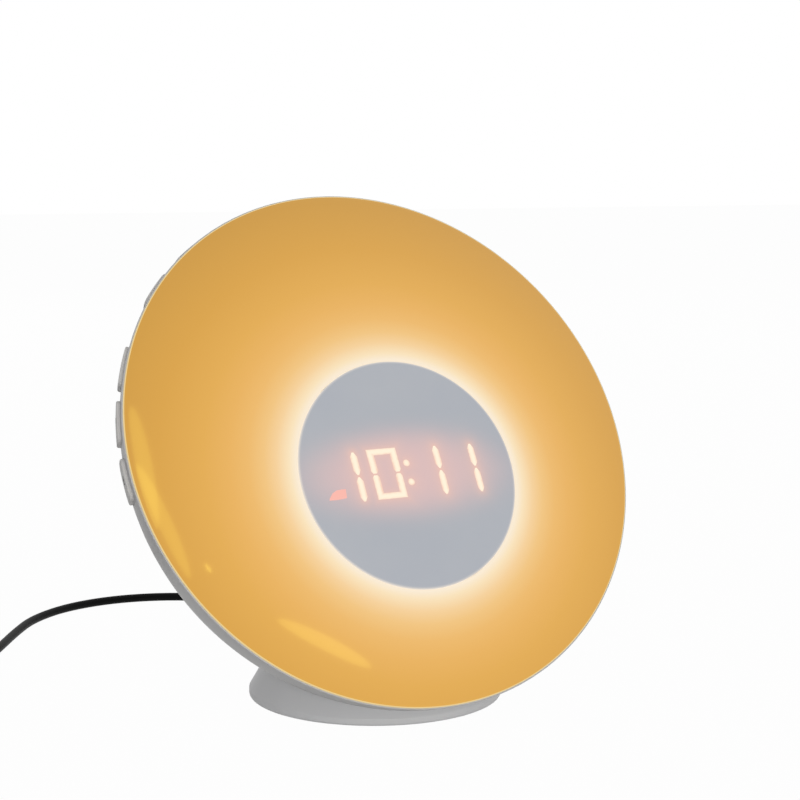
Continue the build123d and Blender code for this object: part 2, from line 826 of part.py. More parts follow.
with BuildPart() as usb_socket:
    with BuildSketch(behind(head_depth + usb_shell_wall)):
        with Locations((usb_right, -usb_up)):
            Rectangle(usb_width, usb_length)
    extrude(amount=-usb_depth)
    with BuildSketch(behind(head_depth + usb_shell_wall)):
        with Locations((usb_right, -usb_up)):
            Rectangle(usb_width - 2 * usb_shell_wall, usb_length - 2 * usb_shell_wall)
    extrude(amount=-(usb_depth - usb_shell_wall), mode=Mode.SUBTRACT)
write(usb_socket, "usb_socket")

with BuildPart() as usb_tongue:
    tongue_shift = (usb_width - usb_tongue_wall) / 2 - 2 * usb_shell_wall
    with BuildSketch(behind(head_depth - usb_depth + 2 * usb_shell_wall + seat_gap)):
        with Locations((usb_right + tongue_shift, -usb_up)):
            Rectangle(usb_tongue_wall, usb_tongue_length)
    extrude(amount=usb_depth - 4 * usb_shell_wall)
write(usb_tongue, "usb_tongue")

with BuildPart() as battery_door:
    with BuildSketch(behind(head_depth)):
        with Locations((door_right, -door_up)):
            RectangleRounded(door_width - 2 * door_gap, door_height - 2 * door_gap, door_corner - door_gap)
    extrude(amount=-(door_wall - seat_gap))
    with BuildSketch(behind(head_depth)):
        with Locations((door_right, -door_up - door_height / 4)):
            SlotOverall(door_width / 3, door_wall)
    extrude(amount=-door_wall / 2, mode=Mode.SUBTRACT)
write(battery_door, "battery_door")

cell_face = head_depth - pocket_depth + contact_wall + 2 * seat_gap
with BuildPart() as coin_cell:
    with BuildSketch(behind(cell_face)):
        with Locations((door_right, -door_up)):
            Circle(cell_radius)
    extrude(amount=cell_height)
    fillet(coin_cell.edges().filter_by(GeomType.CIRCLE), contact_wall)
write(coin_cell, "coin_cell")

with BuildPart() as cell_contacts:
    with BuildSketch(behind(head_depth - pocket_depth + seat_gap)):
        with Locations((door_right, -door_up)):
            Rectangle(cell_radius, door_height - 2 * door_ledge - 2 * door_gap)
    extrude(amount=contact_wall)
write(cell_contacts, "cell_contacts")

# ---------------------------------------------------------------- foot
foot_blank = bowl_blank(-part_gap, -dome_rise)
cavity_blank = bowl_blank(-part_gap - foot_wall, -dome_rise)
foot_bottom = foot_stand
cone_start = foot_bottom + foot_band
cone_fall = tan(radians(foot_slope))
plate_radius = foot_radius - plate_rim
plate_top = foot_bottom + plate_wall
plate_screw_spots = [
    on_circle(plate_screw_circle, angle)
    for turn in (plate_side_screw_at, plate_rear_screw_at)
    for angle in (turn, 180 - turn)
]


def cone_radius(height, wall=0.0):
    """Radius of the foot's outside at a height, less the wall."""
    return foot_radius - max(height - cone_start, 0) * cone_fall - wall


with BuildPart() as foot_cavity:
    with BuildSketch(Plane.XZ):
        with BuildLine():
            Polyline(
                (0, plate_top),
                (cone_radius(plate_top, 2 * foot_wall), plate_top),
                (cone_radius(cone_start, 2 * foot_wall), cone_start),
                (cone_radius(foot_top, foot_wall / cos(radians(foot_slope))), foot_top),
                (0, foot_top),
                close=True,
            )
        make_face()
    revolve(axis=Axis.Z)
    add(cavity_blank, mode=Mode.SUBTRACT)
    with BuildSketch(Plane.XY):
        with Locations((0, foot_cavity_front - foot_radius)):
            Rectangle(2 * foot_radius, 2 * foot_radius)
    extrude(amount=foot_top + tiny, mode=Mode.SUBTRACT)
    with BuildSketch(Plane.XY.offset(plate_top)):
        with Locations(*plate_screw_spots):
            Circle(plate_boss_radius)
    extrude(amount=foot_top, mode=Mode.SUBTRACT)
    with BuildSketch(behind(head_depth)):
        with Locations(*[(x, -y) for x, y in head_screw_spots]):
            Circle(head_screw_boss_radius)
    extrude(amount=head_screw_length + foot_wall, mode=Mode.SUBTRACT)

with BuildPart() as foot_shell:
    with BuildSketch(Plane.XZ):
        with BuildLine():
            Polyline(
                (0, foot_bottom),
                (foot_radius, foot_bottom),
                (foot_radius, cone_start),
                (cone_radius(foot_top), foot_top),
                (0, foot_top),
                close=True,
            )
        make_face()
    revolve(axis=Axis.Z)
    low_edges = foot_shell.edges().filter_by(GeomType.CIRCLE).filter_by_position(
        Axis.Z, foot_bottom - tiny, cone_start + tiny
    )
    fillet(low_edges, foot_edge_round)
    add(foot_blank, mode=Mode.SUBTRACT)
    add(foot_cavity.part, mode=Mode.SUBTRACT)
    with BuildSketch(Plane.XY):
        Circle(plate_radius + part_gap)
    extrude(amount=plate_top, mode=Mode.SUBTRACT)
    with BuildSketch(Plane.XY.offset(plate_top)):
        with Locations(*plate_screw_spots):
            Circle(screw_radius + seat_gap)
    extrude(amount=plate_screw_length, mode=Mode.SUBTRACT)
    with BuildSketch(behind(head_depth)):
        with Locations(*[(x, -y) for x, y in head_screw_spots]):
            Circle(screw_radius + seat_gap)
    extrude(amount=head_screw_length, mode=Mode.SUBTRACT)
write(foot_shell, "foot_shell")

head_screw_places = [
    Plane(origin=level(back_inside - seat_gap).from_local_coords((x, y, 0)), z_dir=HEAD.z_dir)
    for x, y in head_screw_spots
]
screws(head_screw_places, head_screw_length + shell_wall - 2 * seat_gap, "head_screws")

pad_radius = plate_radius - pad_rim
screw_recess = pad_wall - foot_stand + seat_gap + plate_screw_head_height
with BuildPart() as foot_plate:
    with BuildSketch(Plane.XY.offset(foot_bottom)):
        Circle(plate_radius)
    extrude(amount=plate_wall - seat_gap)
    with BuildSketch(Plane.XY.offset(foot_bottom)):
        Circle(pad_radius + part_gap)
    extrude(amount=pad_wall - foot_stand + seat_gap, mode=Mode.SUBTRACT)
    with BuildSketch(Plane.XY.offset(foot_bottom)):
        with Locations(*plate_screw_spots):
            Circle(screw_head_radius + part_gap)
    extrude(amount=screw_recess + seat_gap, mode=Mode.SUBTRACT)
    with BuildSketch(Plane.XY.offset(foot_bottom)):
        with Locations(*plate_screw_spots):
            Circle(screw_radius + part_gap)
    extrude(amount=plate_wall, mode=Mode.SUBTRACT)
write(foot_plate, "foot_plate")

plate_screw_level = foot_bottom + screw_recess
plate_screw_places = [Plane(origin=(x, y, plate_screw_level), z_dir=(0, 0, -1)) for x, y in plate_screw_spots]
screws(plate_screw_places, plate_screw_length, "foot_plate_screws", plate_screw_head_height)

with BuildPart() as foot_pad:
    with BuildSketch(Plane.XY):
        Circle(pad_radius)
    extrude(amount=pad_wall)
    fillet(foot_pad.edges().sort_by(Axis.Z)[0], foot_stand / 2)
write(foot_pad, "foot_pad")

# ---------------------------------------------------------------- cord: plug, tube, coil, tie, adapter
plug_seat = head_depth + seat_gap + jack_flange_wall + seat_gap

with BuildPart() as plug_barrel:
    with BuildSketch(behind(plug_seat)):
        with Locations((jack_right, jack_down)):
            Circle(plug_barrel_radius)
            Circle(jack_pin_radius + part_gap, mode=Mode.SUBTRACT)
    extrude(amount=-plug_barrel_length)
write(plug_barrel, "plug_barrel")

with BuildPart() as cord_plug:
    with BuildSketch(behind(plug_seat)):
        with Locations((jack_right, jack_down)):
            Circle(plug_radius)
    extrude(amount=plug_length)
    fillet(cord_plug.edges().filter_by(GeomType.CIRCLE), plug_radius / 6)
write(cord_plug, "cord_plug")

with BuildPart() as plug_relief:
    with BuildSketch(behind(plug_seat + plug_length)):
        with Locations((jack_right, jack_down)):
            Circle(relief_radius)
    with BuildSketch(behind(plug_seat + plug_length + relief_length)):
        with Locations((jack_right, jack_down)):
            Circle(relief_tip_radius)
    loft()
write(plug_relief, "plug_relief")

cord_start = behind(plug_seat + plug_length + relief_length).from_local_coords(Vector(jack_right, jack_down))
cord_floor = cord_radius
cord_route = [
    cord_start,
    cord_start - HEAD.z_dir * 24.0,
    (21.0, 105.0, 10.5),
    (19.5, 127.0, cord_floor),
    (11.0, 149.0, cord_floor),
    (-6.0, 165.0, cord_floor),
    (-29.0, 171.5, cord_floor),
    (-52.0, 167.0, cord_floor),
    (-71.0, 153.0, cord_floor),
    (-84.0, 134.0, cord_floor),
    (-94.0, 113.0, cord_floor),
    (-105.0, 94.5, cord_floor),
    (-117.5, 78.5, cord_floor),
]
cord_points = [Vector(*point) for point in cord_route]


def corner_radius(before, corner, after):
    """The arc at a corner of the route: as large as its two runs allow."""
    turn = radians((corner - before).get_angle(after - corner))
    shorter = min((corner - before).length, (after - corner).length)
    return 0.45 * shorter / tan(turn / 2)


cord_radii = [corner_radius(*run) for run in zip(cord_points, cord_points[1:], cord_points[2:])]
with BuildPart() as cord_tube:
    with BuildLine() as cord_line:
        FilletPolyline(*cord_points, radius=cord_radii)
    cord_path = cord_line.wire()
    with BuildSketch(Plane(origin=cord_path @ 0, z_dir=cord_path % 0)):
        Circle(cord_radius)
    sweep(path=cord_path)
write(cord_tube, "cord_tube")

# The cord runs onto the coil's outer turn, winds clockwise seen from above, and leaves at its left side.
coil_bottom = tie_wall + 2 * seat_gap
coil_height = coil_layers * 2 * cord_radius
coil_half = coil_columns * cord_radius
coil_outer = coil_across + coil_half
run_in = (cord_points[-1] - cord_points[-2]).normalized()
coil_middle = cord_points[-1] + Vector(run_in.Y, -run_in.X) * (coil_outer - cord_radius)
coil_axis = Axis((coil_middle.X, coil_middle.Y, 0), (0, 0, 1))

with BuildPart() as cord_coil:
    with BuildSketch(Plane(origin=(coil_middle.X, coil_middle.Y, 0), x_dir=(1, 0, 0), z_dir=(0, -1, 0))):
        with Locations((coil_across, coil_bottom + coil_height / 2)):
            RectangleRounded(2 * coil_half, coil_height, cord_radius)
    revolve(axis=coil_axis)
write(cord_coil, "cord_coil")

tie_room_width = 2 * (coil_half + tie_gap)
tie_room_height = coil_height + 2 * seat_gap
with BuildPart() as cord_tie:
    tie_out = Vector(cos(radians(tie_turn)), sin(radians(tie_turn)))
    tie_place = Vector(coil_middle.X, coil_middle.Y) + tie_out * coil_across
    with BuildSketch(Plane(origin=tie_place, x_dir=tie_out, z_dir=(tie_out.Y, -tie_out.X, 0))):
        with Locations((0, coil_bottom + coil_height / 2)):
            RectangleRounded(tie_room_width + 2 * tie_wall, tie_room_height + 2 * tie_wall, cord_radius)
            RectangleRounded(tie_room_width, tie_room_height, cord_radius - tie_wall, mode=Mode.SUBTRACT)
    extrude(amount=tie_width / 2, both=True)
write(cord_tie, "cord_tie")

tail_height = coil_bottom + coil_height - cord_radius
tail_right = coil_middle.X - coil_across
relief_tip = coil_middle.Y + coil_outer - coil_half + adapter_gap
adapter_face = relief_tip + adapter_relief_length
with BuildPart() as cord_tail:
    with BuildSketch(Plane(origin=(tail_right, coil_middle.Y, tail_height), z_dir=(0, 1, 0))):
        Circle(cord_radius)
    extrude(amount=relief_tip - seat_gap - coil_middle.Y)
write(cord_tail, "cord_tail")

with BuildPart() as adapter_relief:
    with BuildSketch(Plane(origin=(tail_right, relief_tip, tail_height), z_dir=(0, 1, 0))):
        Circle(relief_tip_radius)
    with BuildSketch(Plane(origin=(tail_right, adapter_face - seat_gap, tail_height), z_dir=(0, 1, 0))):
        Circle(relief_radius)
    loft()
write(adapter_relief, "adapter_relief")

with BuildPart() as wall_adapter:
    with BuildSketch(Plane.XY):
        with Locations((tail_right, adapter_face + adapter_length / 2)):
            RectangleRounded(adapter_width, adapter_length, adapter_round)
    extrude(amount=adapter_height)
    fillet(wall_adapter.faces().sort_by(Axis.Z)[-1].edges(), adapter_round / 2)
    chamfer(wall_adapter.faces().sort_by(Axis.Z)[0].edges(), adapter_round / 4)
write(wall_adapter, "wall_adapter")

with BuildPart() as adapter_prongs:
    with BuildSketch(Plane.XY.offset(adapter_height + seat_gap)):
        with Locations((tail_right, adapter_face + adapter_length - adapter_width / 2)):
            with GridLocations(prong_pitch, 0, 2, 1):
                Rectangle(prong_wall, prong_width)
    extrude(amount=prong_length)
    chamfer(adapter_prongs.faces().group_by(Axis.Z)[-1].edges(), prong_wall / 4)
write(adapter_prongs, "adapter_prongs")

tube_share = cord_tube.part.volume / (pi * cord_radius**2 * cord_path.length)
print("cord arcs", [round(radius) for radius in cord_radii], "tube volume share", round(tube_share, 4))
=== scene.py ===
"""A sunrise alarm clock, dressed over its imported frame: lit dome, display, shell, buttons, foot and cord.

The camera, the lamps and the floor are placed in metres, and shapes are given in millimetres. The
dome, the window, the digits and the signs are made in the head's own frame: x to the right, y up the
face and z out of it, with the rim of the dome at z = 0.
"""

from math import cos, pi, radians, sin, sqrt

import bmesh
import bpy
from mathutils import Matrix, Vector


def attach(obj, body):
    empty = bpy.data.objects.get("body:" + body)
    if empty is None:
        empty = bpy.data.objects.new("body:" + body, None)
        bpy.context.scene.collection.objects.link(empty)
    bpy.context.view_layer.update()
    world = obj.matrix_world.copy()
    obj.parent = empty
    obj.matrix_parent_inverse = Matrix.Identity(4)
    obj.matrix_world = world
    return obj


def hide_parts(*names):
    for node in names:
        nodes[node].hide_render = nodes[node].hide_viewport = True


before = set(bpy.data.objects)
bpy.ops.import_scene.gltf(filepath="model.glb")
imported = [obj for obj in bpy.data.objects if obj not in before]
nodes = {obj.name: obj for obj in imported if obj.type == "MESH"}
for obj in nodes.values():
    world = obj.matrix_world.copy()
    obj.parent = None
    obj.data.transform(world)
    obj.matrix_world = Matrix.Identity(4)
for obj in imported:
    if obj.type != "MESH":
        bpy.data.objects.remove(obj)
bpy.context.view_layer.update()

MM = 0.001
HEAD_LEAN = 28.7
HEAD_TURN = radians(90 - HEAD_LEAN)
HEAD_MIDDLE = Vector((0.0, -0.009, 0.0873982))
HEAD = Matrix.Translation(HEAD_MIDDLE) @ Matrix.Rotation(HEAD_TURN, 4, "X")
HEAD_MM = HEAD @ Matrix.Diagonal((MM, MM, MM, 1))

# The dome is a cap cut from a ball, with a hole for the display window
DOME_RADIUS = 90.0
DOME_RISE = 11.5
DOME_BALL = (DOME_RISE**2 + DOME_RADIUS**2) / (2 * DOME_RISE)
DOME_WALL = 2.0
WINDOW_RADIUS = 38.65
WINDOW_MIDDLE = (0.0, -15.1)
EDGE_ROUND = 0.15

# Radii and heights down the dome's edge and along its stepped skirt
DOME_SKIRT = [
    (DOME_RADIUS - 0.06, 0.0),
    (DOME_RADIUS, -0.1),
    (DOME_RADIUS, -0.3),
    (87.64, -0.3),
    (87.64, -2.05),
    (86.14, -2.05),
]

# The lit time: where its ones, its nought and its colon stand on the window, and its stroke
ONES = (-19.0, 10.55, 24.05)
NOUGHT = -9.05
COLON = (-1.2, -0.3)
COLON_HALF = 3.2
DIGIT_MIDDLE = WINDOW_MIDDLE[1] - 0.1
STROKE = 2.4
SLANT = -0.055

# The signs on the side buttons: how deep they lie, and the arc of the buttons' outer faces
SIGN_DEPTH = 6.0
SKIN_MIDDLE = 27.103
SKIN_HEIGHT = 10.152
SKIN_ARC = 65.5

# Edges that turn more than this stay sharp, in degrees: on made shapes, and on the frame's own
SHARP_MADE = 40.0
SHARP_FRAME = 32.0


# ---------------------------------------------------------------- camera
def add_object(name, data):
    """A new object in the scene."""
    thing = bpy.data.objects.new(name, data)
    bpy.context.scene.collection.objects.link(thing)
    return thing


def point_at(thing, place, target):
    """Stands a camera or a lamp at a place, looking at a target."""
    thing.location = place
    thing.rotation_euler = (Vector(target) - Vector(place)).to_track_quat("-Z", "Y").to_euler()


camera_lens = bpy.data.cameras.new("studio_camera")
camera_lens.lens = 88.91
camera_lens.sensor_width = 36.0
camera_lens.clip_start = 0.05
camera_lens.clip_end = 20.0
studio_camera = add_object("studio_camera", camera_lens)
point_at(studio_camera, (-0.29828, -0.57932, 0.17831), (0.00456, -0.00930, 0.10046))
bpy.context.scene.camera = studio_camera


# ---------------------------------------------------------------- power cord
CORD_DIAMETER = 3.2
CORD_FROM_THE_PLUG = [
    (20.0, 61.01, 42.23),
    (20.0, 82.06, 30.71),
    (21.0, 105.0, 10.5),
    (19.5, 127.0, 1.6),
    (11.0, 149.0, 1.6),
    (-6.0, 165.0, 1.6),
    (-29.0, 171.5, 1.6),
    (-52.0, 167.0, 1.6),
    (-71.0, 153.0, 1.6),
    (-84.0, 134.0, 1.6),
    (-95.5, 115.0, 1.6),
    (-107.5, 96.5, 1.6),
]
CORD_TO_THE_ADAPTER = [
    (-154.6, 100.0, 12.1),
    (-152.4, 106.5, 12.0),
    (-151.85, 113.0, 12.0),
    (-151.85, 131.0, 12.0),
]
COIL_MIDDLE = (-134.05, 91.43)
COIL_OUTER = 21.5
COIL_STEP = 3.25
COIL_FLOOR = 2.4
COIL_START = -38
FULL_LAYERS = 3
LAST_TURNS = 2.394


def coil_turns():
    """Points round the put-away coil, clockwise: each layer winds in or out, then climbs to the next."""
    spots = 16
    swell = 1 / cos(pi / spots)
    layer_turns, climb_turns = 2.5, 1 / 6
    points = []
    total = int((FULL_LAYERS * (layer_turns + climb_turns) + LAST_TURNS) * spots)
    for step in range(1, total):
        turned = step / spots
        layer, within = divmod(turned, layer_turns + climb_turns)
        wound = min(within, layer_turns) / layer_turns
        climb = max(within - layer_turns, 0) / climb_turns
        inward = wound if layer % 2 == 0 else 1 - wound
        radius = (COIL_OUTER - inward * layer_turns * COIL_STEP) * swell
        angle = radians(COIL_START - 360 * turned)
        height = COIL_FLOOR + (layer + climb) * COIL_STEP
        points.append((COIL_MIDDLE[0] + radius * cos(angle), COIL_MIDDLE[1] + radius * sin(angle), height))
    return points


def lay_cord(name, points, diameter):
    """A smooth round cord along its control points."""
    curve = bpy.data.curves.new(name, "CURVE")
    curve.dimensions = "3D"
    line = curve.splines.new("NURBS")
    line.points.add(len(points) - 1)
    for spot, point in zip(line.points, points):
        spot.co = (*(Vector(point) * MM), 1.0)
    line.order_u = 3
    line.use_endpoint_u = True
    line.resolution_u = 6
    curve.bevel_depth = diameter * MM / 2
    curve.bevel_resolution = 4
    curve.use_fill_caps = True
    return add_object(name, curve)


# ---------------------------------------------------------------- shader nodes
def new_group(name, inputs, outputs):
    """An empty shader node group with named inputs and outputs."""
    group = bpy.data.node_groups.new(name, "ShaderNodeTree")
    for label, value in inputs:
        socket = group.interface.new_socket(label, in_out="INPUT", socket_type="NodeSocketFloat")
        socket.default_value = value
    for label, kind in outputs:
        group.interface.new_socket(label, in_out="OUTPUT", socket_type=kind)
    return group, group.nodes.new("NodeGroupInput").outputs, group.nodes.new("NodeGroupOutput").inputs


def maths(tree, operation, *values):
    """A Math node's result, from sockets or plain numbers."""
    node = tree.nodes.new("ShaderNodeMath")
    node.operation = operation
    for place, value in enumerate(values):
        if isinstance(value, (int, float)):
            node.inputs[place].default_value = value
        else:
            tree.links.new(value, node.inputs[place])
    return node.outputs[0]


def squared(tree, value):
    """A value times itself."""
    return maths(tree, "MULTIPLY", value, value)


def span(tree, across, along):
    """The straight distance over two sides at right angles."""
    return maths(tree, "SQRT", maths(tree, "ADD", squared(tree, across), squared(tree, along)))


def fading(tree, value, rate):
    """One at nought, and falling off at a rate as the value grows."""
    return maths(tree, "EXPONENT", maths(tree, "MULTIPLY", value, -rate))


def ramp(tree, value, stops):
    """A colour ramp over a 0 to 1 value."""
    node = tree.nodes.new("ShaderNodeValToRGB")
    while len(node.color_ramp.elements) < len(stops):
        node.color_ramp.elements.new(0.5)
    for element, (place, colour) in zip(node.color_ramp.elements, stops):
        element.position = place
        element.color = colour
    tree.links.new(value, node.inputs[0])
    return node.outputs[0]


def srgb(*colour):
    """A colour written as the eye reads it, from 0 to 255, made linear."""
    linear = [c / 255 / 12.92 if c <= 10 else ((c / 255 + 0.055) / 1.055) ** 2.4 for c in colour]
    return (*linear, 1.0)


def mixed(tree, factor, first, second, blend="MIX"):
    """A colour between two, each a socket or a plain colour."""
    node = tree.nodes.new("ShaderNodeMix")
    node.data_type = "RGBA"
    node.blend_type = blend
    for socket, value in ((node.inputs[0], factor), (node.inputs[6], first), (node.inputs[7], second)):
        if isinstance(value, (float, tuple)):
            socket.default_value = value
        else:
            tree.links.new(value, socket)
    return node.outputs[2]


def head_place_group():
    """Places on the head's face in millimetres: right, up and out."""
    labels = ("Right", "Up", "Out")
    group, _, out = new_group("head_place", [], [(label, "NodeSocketFloat") for label in labels])
    where = group.nodes.new("ShaderNodeTexCoord")
    turn = group.nodes.new("ShaderNodeMapping")
    turn.vector_type = "TEXTURE"
    turn.inputs["Location"].default_value = HEAD_MIDDLE
    turn.inputs["Rotation"].default_value = (HEAD_TURN, 0, 0)
    turn.inputs["Scale"].default_value = (MM, MM, MM)
    split = group.nodes.new("ShaderNodeSeparateXYZ")
    group.links.new(where.outputs["Object"], turn.inputs["Vector"])
    group.links.new(turn.outputs[0], split.inputs[0])
    for place, label in enumerate(labels):
        group.links.new(split.outputs[place], out[label])
    return group


def grain_group():
    """Moulded grain: a fine bump normal, and a slow and a fine mask over the surface."""
    group, given, out = new_group(
        "moulded_grain",
        [("Grain Size", 0.5), ("Depth", 0.3), ("Cloud Size", 30.0)],
        [("Normal", "NodeSocketVector"), ("Cloud", "NodeSocketFloat"), ("Speckle", "NodeSocketFloat")],
    )
    links = group.links
    where = group.nodes.new("ShaderNodeTexCoord")
    masks = []
    for size, detail in (("Grain Size", 3.0), ("Cloud Size", 2.0)):
        noise = group.nodes.new("ShaderNodeTexNoise")
        noise.inputs["Detail"].default_value = detail
        links.new(where.outputs["Object"], noise.inputs["Vector"])
        links.new(maths(group, "DIVIDE", 1 / MM, given[size]), noise.inputs["Scale"])
        masks.append(noise.outputs[0])
    fine, slow = masks
    bump = group.nodes.new("ShaderNodeBump")
    bump.inputs["Distance"].default_value = 0.03 * MM
    links.new(fine, bump.inputs["Height"])
    links.new(given["Depth"], bump.inputs["Strength"])
    links.new(bump.outputs[0], out["Normal"])
    links.new(slow, out["Cloud"])
    links.new(fine, out["Speckle"])
    return group


HEAD_PLACE = head_place_group()
GRAIN = grain_group()


def place_group(tree, group, **values):
    """A node group in a material, with its own values."""
    node = tree.nodes.new("ShaderNodeGroup")
    node.node_tree = group
    for label, value in values.items():
        node.inputs[label.replace("_", " ")].default_value = value
    return node.outputs


# ---------------------------------------------------------------- materials
ROOM_SHEEN = 0.05
GLOW_REACH = 64.0
# The dome's light by its distance from the window's edge
GLOW = [
    (0.8, srgb(252, 237, 214)),
    (3.0, srgb(251, 229, 191)),
    (7.0, srgb(247, 211, 158)),
    (11.0, srgb(243, 199, 132)),
    (16.0, srgb(239, 188, 112)),
    (22.0, srgb(235, 181, 100)),
    (30.0, srgb(229, 175, 89)),
    (44.0, srgb(220, 166, 80)),
    (GLOW_REACH, srgb(208, 157, 75)),
]


def new_finish(name, **values):
    """A material with one surface shader, and plain values set on the shader itself."""
    material = bpy.data.materials.new(name)
    material.use_nodes = True
    tree = material.node_tree
    surface = tree.nodes["Principled BSDF"]
    for label, value in values.items():
        surface.inputs[label.replace("_", " ")].default_value = value
    return material, tree, surface


def light_up(tree, surface, colour, strength, returned):
    """Makes a surface shine in a colour at a strength, and return a share of the room's light in it."""
    body = mixed(tree, 1.0, colour, (returned, returned, returned, 1.0), "MULTIPLY")
    tree.links.new(body, surface.inputs["Base Color"])
    tree.links.new(colour, surface.inputs["Emission Color"])
    surface.inputs["Emission Strength"].default_value = strength


def uneven_gloss(tree, surface, speckle, low, high):
    """Lets a surface's roughness wander between two values with a fine mask."""
    tree.links.new(maths(tree, "MULTIPLY_ADD", speckle, high - low, low), surface.inputs["Roughness"])


def under_sheen(colour):
    """The light that reads as a colour once the white room's sheen lies over it."""
    return (*(max(channel - ROOM_SHEEN, 0.0) for channel in colour[:3]), 1.0)


def from_window_edge(tree, head):
    """How far a place on the face is outside the display window's edge, in millimetres."""
    rise = maths(tree, "SUBTRACT", head["Up"], WINDOW_MIDDLE[1])
    return maths(tree, "SUBTRACT", span(tree, head["Right"], rise), WINDOW_RADIUS)


def opal_dome_finish():
    """Glossy opal plastic lit from behind: cream round the window, amber further out, pale at the edge."""
    edge_height = 0.08
    material, tree, surface = new_finish("opal_dome", Roughness=0.06, Coat_Weight=0.3, Coat_Roughness=0.03)
    head = place_group(tree, HEAD_PLACE)
    away = maths(tree, "DIVIDE", from_window_edge(tree, head), GLOW_REACH)
    glow = ramp(tree, away, [(place / GLOW_REACH, under_sheen(colour)) for place, colour in GLOW])
    edge = maths(tree, "LESS_THAN", head["Out"], edge_height)
    lit = mixed(tree, edge, glow, under_sheen(srgb(238, 212, 150)))
    light_up(tree, surface, lit, strength=0.8, returned=0.22)
    return material


def from_strokes(tree, head):
    """A place on the window: right and up of the digits' middle, and how far from the nearest stroke."""
    one_reach, nought_across, nought_along = 7.6, 4.2, 7.5
    up = maths(tree, "SUBTRACT", head["Up"], DIGIT_MIDDLE)
    right = maths(tree, "MULTIPLY_ADD", up, -SLANT, head["Right"])
    level = maths(tree, "ABSOLUTE", up)
    ones = [maths(tree, "ABSOLUTE", maths(tree, "ADD", right, -place)) for place in ONES]
    beside = maths(tree, "MINIMUM", maths(tree, "MINIMUM", ones[0], ones[1]), ones[2])
    beyond = maths(tree, "MAXIMUM", maths(tree, "SUBTRACT", level, one_reach), 0.0)
    one = span(tree, beside, beyond)
    across = maths(tree, "ABSOLUTE", maths(tree, "ADD", right, -NOUGHT))
    across = maths(tree, "SUBTRACT", across, nought_across)
    along = maths(tree, "SUBTRACT", level, nought_along)
    nought = maths(tree, "ABSOLUTE", maths(tree, "MAXIMUM", across, along))
    dot_right = maths(tree, "SUBTRACT", right, COLON[0])
    dot_up = maths(tree, "ABSOLUTE", maths(tree, "SUBTRACT", up, COLON[1]))
    dot = span(tree, dot_right, maths(tree, "SUBTRACT", dot_up, COLON_HALF))
    return right, up, maths(tree, "MINIMUM", maths(tree, "MINIMUM", one, nought), dot)


def display_window_finish():
    """Milky window: cool grey, with a warm cloud of light round the digits and a pale edge of painted light
    from the dome's glow.
    """
    cloud_middle, cloud_half_width, cloud_half_height, edge_light_width = -2.0, 33.0, 13.5, 1.0
    material, tree, surface = new_finish("display_window")
    head = place_group(tree, HEAD_PLACE)
    right, up, near = from_strokes(tree, head)
    halo = fading(tree, near, rate=0.6)
    wide = maths(tree, "DIVIDE", maths(tree, "ADD", right, -cloud_middle), cloud_half_width)
    high = maths(tree, "DIVIDE", up, cloud_half_height)
    off_middle = maths(tree, "ADD", squared(tree, wide), squared(tree, high))
    cloud = fading(tree, squared(tree, off_middle), rate=0.9)
    # Painted light: the window's outer millimetre is lit pale, as if by the dome's glow coming in at its
    # rim
    edge = maths(tree, "MAXIMUM", maths(tree, "ADD", from_window_edge(tree, head), edge_light_width), 0.0)
    field = place_group(tree, GRAIN, Grain_Size=0.8, Cloud_Size=22.0)
    shown = mixed(tree, field["Cloud"], srgb(173, 178, 188), srgb(183, 186, 192))
    for share, most, colour in (
        (cloud, 0.9, srgb(231, 196, 194)),
        (halo, 0.75, srgb(255, 204, 182)),
        (squared(tree, edge), 0.9, srgb(246, 236, 224)),
    ):
        shown = mixed(tree, maths(tree, "MULTIPLY", share, most), shown, colour)
    light_up(tree, surface, shown, strength=0.56, returned=0.35)
    uneven_gloss(tree, surface, field["Speckle"], 0.2, 0.25)
    return material


def lit_stroke_finish(name, core, rim):
    """A lit digit stroke: bright along its middle line and warmer towards its edge, a little unevenly."""
    steepness = 2.5
    material, tree, surface = new_finish(name, Roughness=0.4)
    near = from_strokes(tree, place_group(tree, HEAD_PLACE))[2]
    uneven = maths(tree, "ADD", place_group(tree, GRAIN, Grain_Size=1.4)["Speckle"], 0.5)
    share = maths(tree, "MULTIPLY", maths(tree, "DIVIDE", near, STROKE / 2), uneven)
    colour = mixed(tree, maths(tree, "POWER", share, steepness), under_sheen(core), under_sheen(rim))
    light_up(tree, surface, colour, strength=0.93, returned=0.1)
    return material


def grained_finish(name, colour, dark, rough, grain, values):
    """Moulded, plated or printed: a colour that drifts slightly, an uneven gloss and a fine bump."""
    material, tree, surface = new_finish(name, **values)
    size, depth, cloud = grain
    field = place_group(tree, GRAIN, Grain_Size=size, Depth=depth, Cloud_Size=cloud)
    tree.links.new(mixed(tree, field["Cloud"], srgb(*dark), srgb(*colour)), surface.inputs["Base Color"])
    uneven_gloss(tree, surface, field["Speckle"], *rough)
    tree.links.new(field["Normal"], surface.inputs["Normal"])
    return material


FINISHES = {
    "opal_dome": opal_dome_finish(),
    "display_window": display_window_finish(),
    "digit_light": lit_stroke_finish("digit_light", srgb(255, 243, 220), srgb(246, 210, 190)),
    "mark_light": lit_stroke_finish("mark_light", srgb(255, 190, 176), srgb(250, 188, 176)),
}
